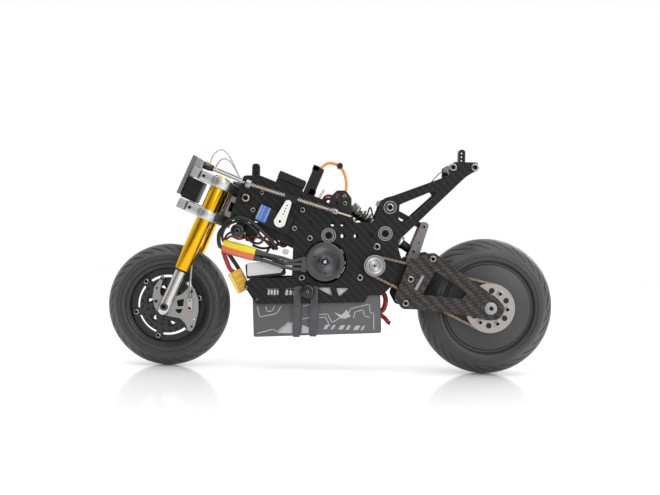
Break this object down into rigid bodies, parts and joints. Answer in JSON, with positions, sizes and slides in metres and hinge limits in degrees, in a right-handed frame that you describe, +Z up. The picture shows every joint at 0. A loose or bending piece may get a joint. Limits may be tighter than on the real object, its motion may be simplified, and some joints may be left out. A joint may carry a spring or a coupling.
{
  "type": "rc motorcycle",
  "caption": "Radio-controlled motorcycle chassis without bodywork: carbon side plates, gold fork, swing arm with chain drive, motor, servo and strapped battery.",
  "frame": {"origin": "on the ground under the middle of the bike, midway between the two ends and the two sides", "axes": "+X to the rear wheel, +Z up, -Y the chain side"},
  "size_m": [0.4, 0.0726, 0.2018],
  "materials": {
    "carbon": "carbon-fibre weave, satin clear coat",
    "black_plastic": "moulded black plastic",
    "belt_rubber": "black toothed rubber",
    "strap_rubber": "grey rubber strap",
    "battery_wrap": "grey shrink wrap with plain pale bands",
    "steel": "bright steel",
    "spring_steel": "spring wire",
    "silver": "polished aluminium",
    "gold": "gold anodised",
    "dark_metal": "dark anodised",
    "tyre": "black tyre rubber",
    "white_plastic": "white nylon",
    "amber_plastic": "amber connector plastic",
    "yellow_sleeve": "yellow heat-shrink sleeve",
    "orange_sleeve": "orange heat-shrink sleeve",
    "grey_cable": "grey cable jacket"
  },
  "bodies": {
    "chassis": {"frame_plate_left": "carbon", "frame_plate_right": "carbon", "head_block": "black_plastic", "top_deck": "carbon", "rear_body_post": "black_plastic", "front_body_post": "black_plastic", "frame_bearing_front": "steel", "frame_bearing_rear": "steel", "shock_mount": "black_plastic", "steering_servo": "black_plastic", "receiver": "black_plastic", "receiver_plugs": "black_plastic", "speed_controller": "black_plastic", "motor_can": "dark_metal", "motor_lead_upper": "yellow_sleeve", "motor_lead_lower": "orange_sleeve", "battery_pack": "battery_wrap", "battery_plug": "amber_plastic", "battery_strap": "strap_rubber", "strap_knob_left": "black_plastic", "strap_knob_right": "black_plastic", "tray_crossbar_front": "steel", "tray_crossbar_rear": "steel", "drive_belt": "belt_rubber"},
    "fork_upper": {"upper_clamp": "silver", "lower_clamp": "silver", "fork_tube_left": "gold", "fork_tube_right": "gold", "nose_plate": "silver", "nose_module": "black_plastic", "brake_cable_loops": "grey_cable"},
    "fork_lower": {"fork_slider_left": "silver", "fork_slider_right": "silver", "front_axle": "steel", "brake_caliper": "silver", "brake_cable": "grey_cable"},
    "front_wheel": {"front_tyre": "tyre", "front_rim": "dark_metal", "brake_disc": "dark_metal"},
    "brake_lever": {"brake_lever": "steel"},
    "swing_arm": {"swing_arm_block": "black_plastic", "swing_arm_plate_left": "carbon", "swing_arm_plate_right": "carbon", "rear_axle": "steel", "drive_chain": "dark_metal"},
    "rear_wheel": {"rear_tyre": "tyre", "rear_rim": "dark_metal", "rear_sprocket": "silver"},
    "jackshaft": {"jackshaft": "silver"},
    "motor_rotor": {"motor_rotor": "steel"},
    "shock_link": {"shock_link": "dark_metal"},
    "tie_rod": {"tie_rod": "black_plastic"},
    "shock_body": {"shock_body": "dark_metal", "shock_spring": "spring_steel"},
    "shock_shaft": {"shock_shaft": "silver"},
    "servo_horn": {"servo_horn": "white_plastic"},
    "steering_slider": {"steering_rod": "steel", "steering_spring_front": "spring_steel", "steering_spring_rear": "spring_steel"},
    "steering_link": {"steering_link": "steel"}
  },
  "joints": [
    {"name": "steering", "type": "hinge", "parent": "chassis", "child": "fork_upper", "pos_m": [-0.09614, 0, 0.1423], "axis": [0.3827, 0, 0.9239], "range_deg": [-18, 18]},
    {"name": "fork_slide", "type": "slide", "parent": "fork_upper", "child": "fork_lower", "axis": [0.3827, 0, 0.9239], "range_m": [0, 0.006], "stiffness_N_per_m": 1500, "springref_m": -0.012},
    {"name": "front_wheel_spin", "type": "hinge", "parent": "fork_lower", "child": "front_wheel", "pos_m": [-0.1455, 0, 0.0545], "axis": [0, 1, 0], "continuous": true},
    {"name": "brake_lever_pivot", "type": "hinge", "parent": "fork_lower", "child": "brake_lever", "pos_m": [-0.1242, -0.023, 0.053], "axis": [0, 1, 0], "range_deg": [0, 12], "stiffness_Nm_per_rad": 0.02, "springref_deg": -5.73},
    {"name": "swing_arm_pivot", "type": "hinge", "parent": "chassis", "child": "swing_arm", "pos_m": [0.0363, 0, 0.0953], "axis": [0, -1, 0], "range_deg": [0, 10], "stiffness_Nm_per_rad": 6, "springref_deg": -15.47},
    {"name": "rear_wheel_spin", "type": "hinge", "parent": "swing_arm", "child": "rear_wheel", "pos_m": [0.139, 0, 0.061], "axis": [0, 1, 0], "continuous": true},
    {"name": "jackshaft_spin", "type": "hinge", "parent": "swing_arm", "child": "jackshaft", "pos_m": [0.0363, 0, 0.0953], "axis": [0, 1, 0], "continuous": true},
    {"name": "motor_spin", "type": "hinge", "parent": "chassis", "child": "motor_rotor", "pos_m": [-0.0074, 0, 0.0974], "axis": [0, 1, 0], "continuous": true},
    {"name": "link_pivot", "type": "hinge", "parent": "swing_arm", "child": "shock_link", "pos_m": [0.0709, 0, 0.1014], "axis": [0, -1, 0], "range_deg": [-18, 0]},
    {"name": "tie_rod_pivot", "type": "hinge", "parent": "chassis", "child": "tie_rod", "pos_m": [0.0486, 0, 0.1469], "axis": [0, -1, 0], "range_deg": [0, 9]},
    {"name": "shock_pivot", "type": "hinge", "parent": "chassis", "child": "shock_body", "pos_m": [0.0089, 0, 0.1493], "axis": [0, -1, 0], "range_deg": [0, 4]},
    {"name": "shock_slide", "type": "slide", "parent": "shock_body", "child": "shock_shaft", "axis": [0.8405, 0, -0.5418], "range_m": [-0.004, 0], "deforming": ["shock_spring"]},
    {"name": "horn_pivot", "type": "hinge", "parent": "chassis", "child": "servo_horn", "pos_m": [-0.0476, -0.0308, 0.1314], "axis": [0, 1, 0], "range_deg": [-30, 30]},
    {"name": "steering_rod_slide", "type": "slide", "parent": "chassis", "child": "steering_slider", "axis": [0.962, 0, -0.2731], "range_m": [-0.009, 0.009]},
    {"name": "steering_link_pivot", "type": "hinge", "parent": "steering_slider", "child": "steering_link", "pos_m": [-0.0785, -0.027, 0.1639], "axis": [0.3, 0, 0.9539], "range_deg": [-15, 15]}
  ],
  "couplings": [
    {"joint": "jackshaft_spin", "follows": "rear_wheel_spin", "ratio": 2.5333},
    {"joint": "motor_spin", "follows": "rear_wheel_spin", "ratio": 6.3333},
    {"joint": "link_pivot", "follows": "swing_arm_pivot", "ratio": -1.681},
    {"joint": "tie_rod_pivot", "follows": "swing_arm_pivot", "ratio": 0.8},
    {"joint": "shock_pivot", "follows": "swing_arm_pivot", "ratio": 0.355},
    {"joint": "shock_slide", "follows": "swing_arm_pivot", "m_per_rad": -0.0202},
    {"joint": "horn_pivot", "follows": "steering", "ratio": 1.59},
    {"joint": "steering_rod_slide", "follows": "steering", "m_per_rad": 0.0275},
    {"joint": "steering_link_pivot", "follows": "steering", "ratio": 0.8}
  ]
}
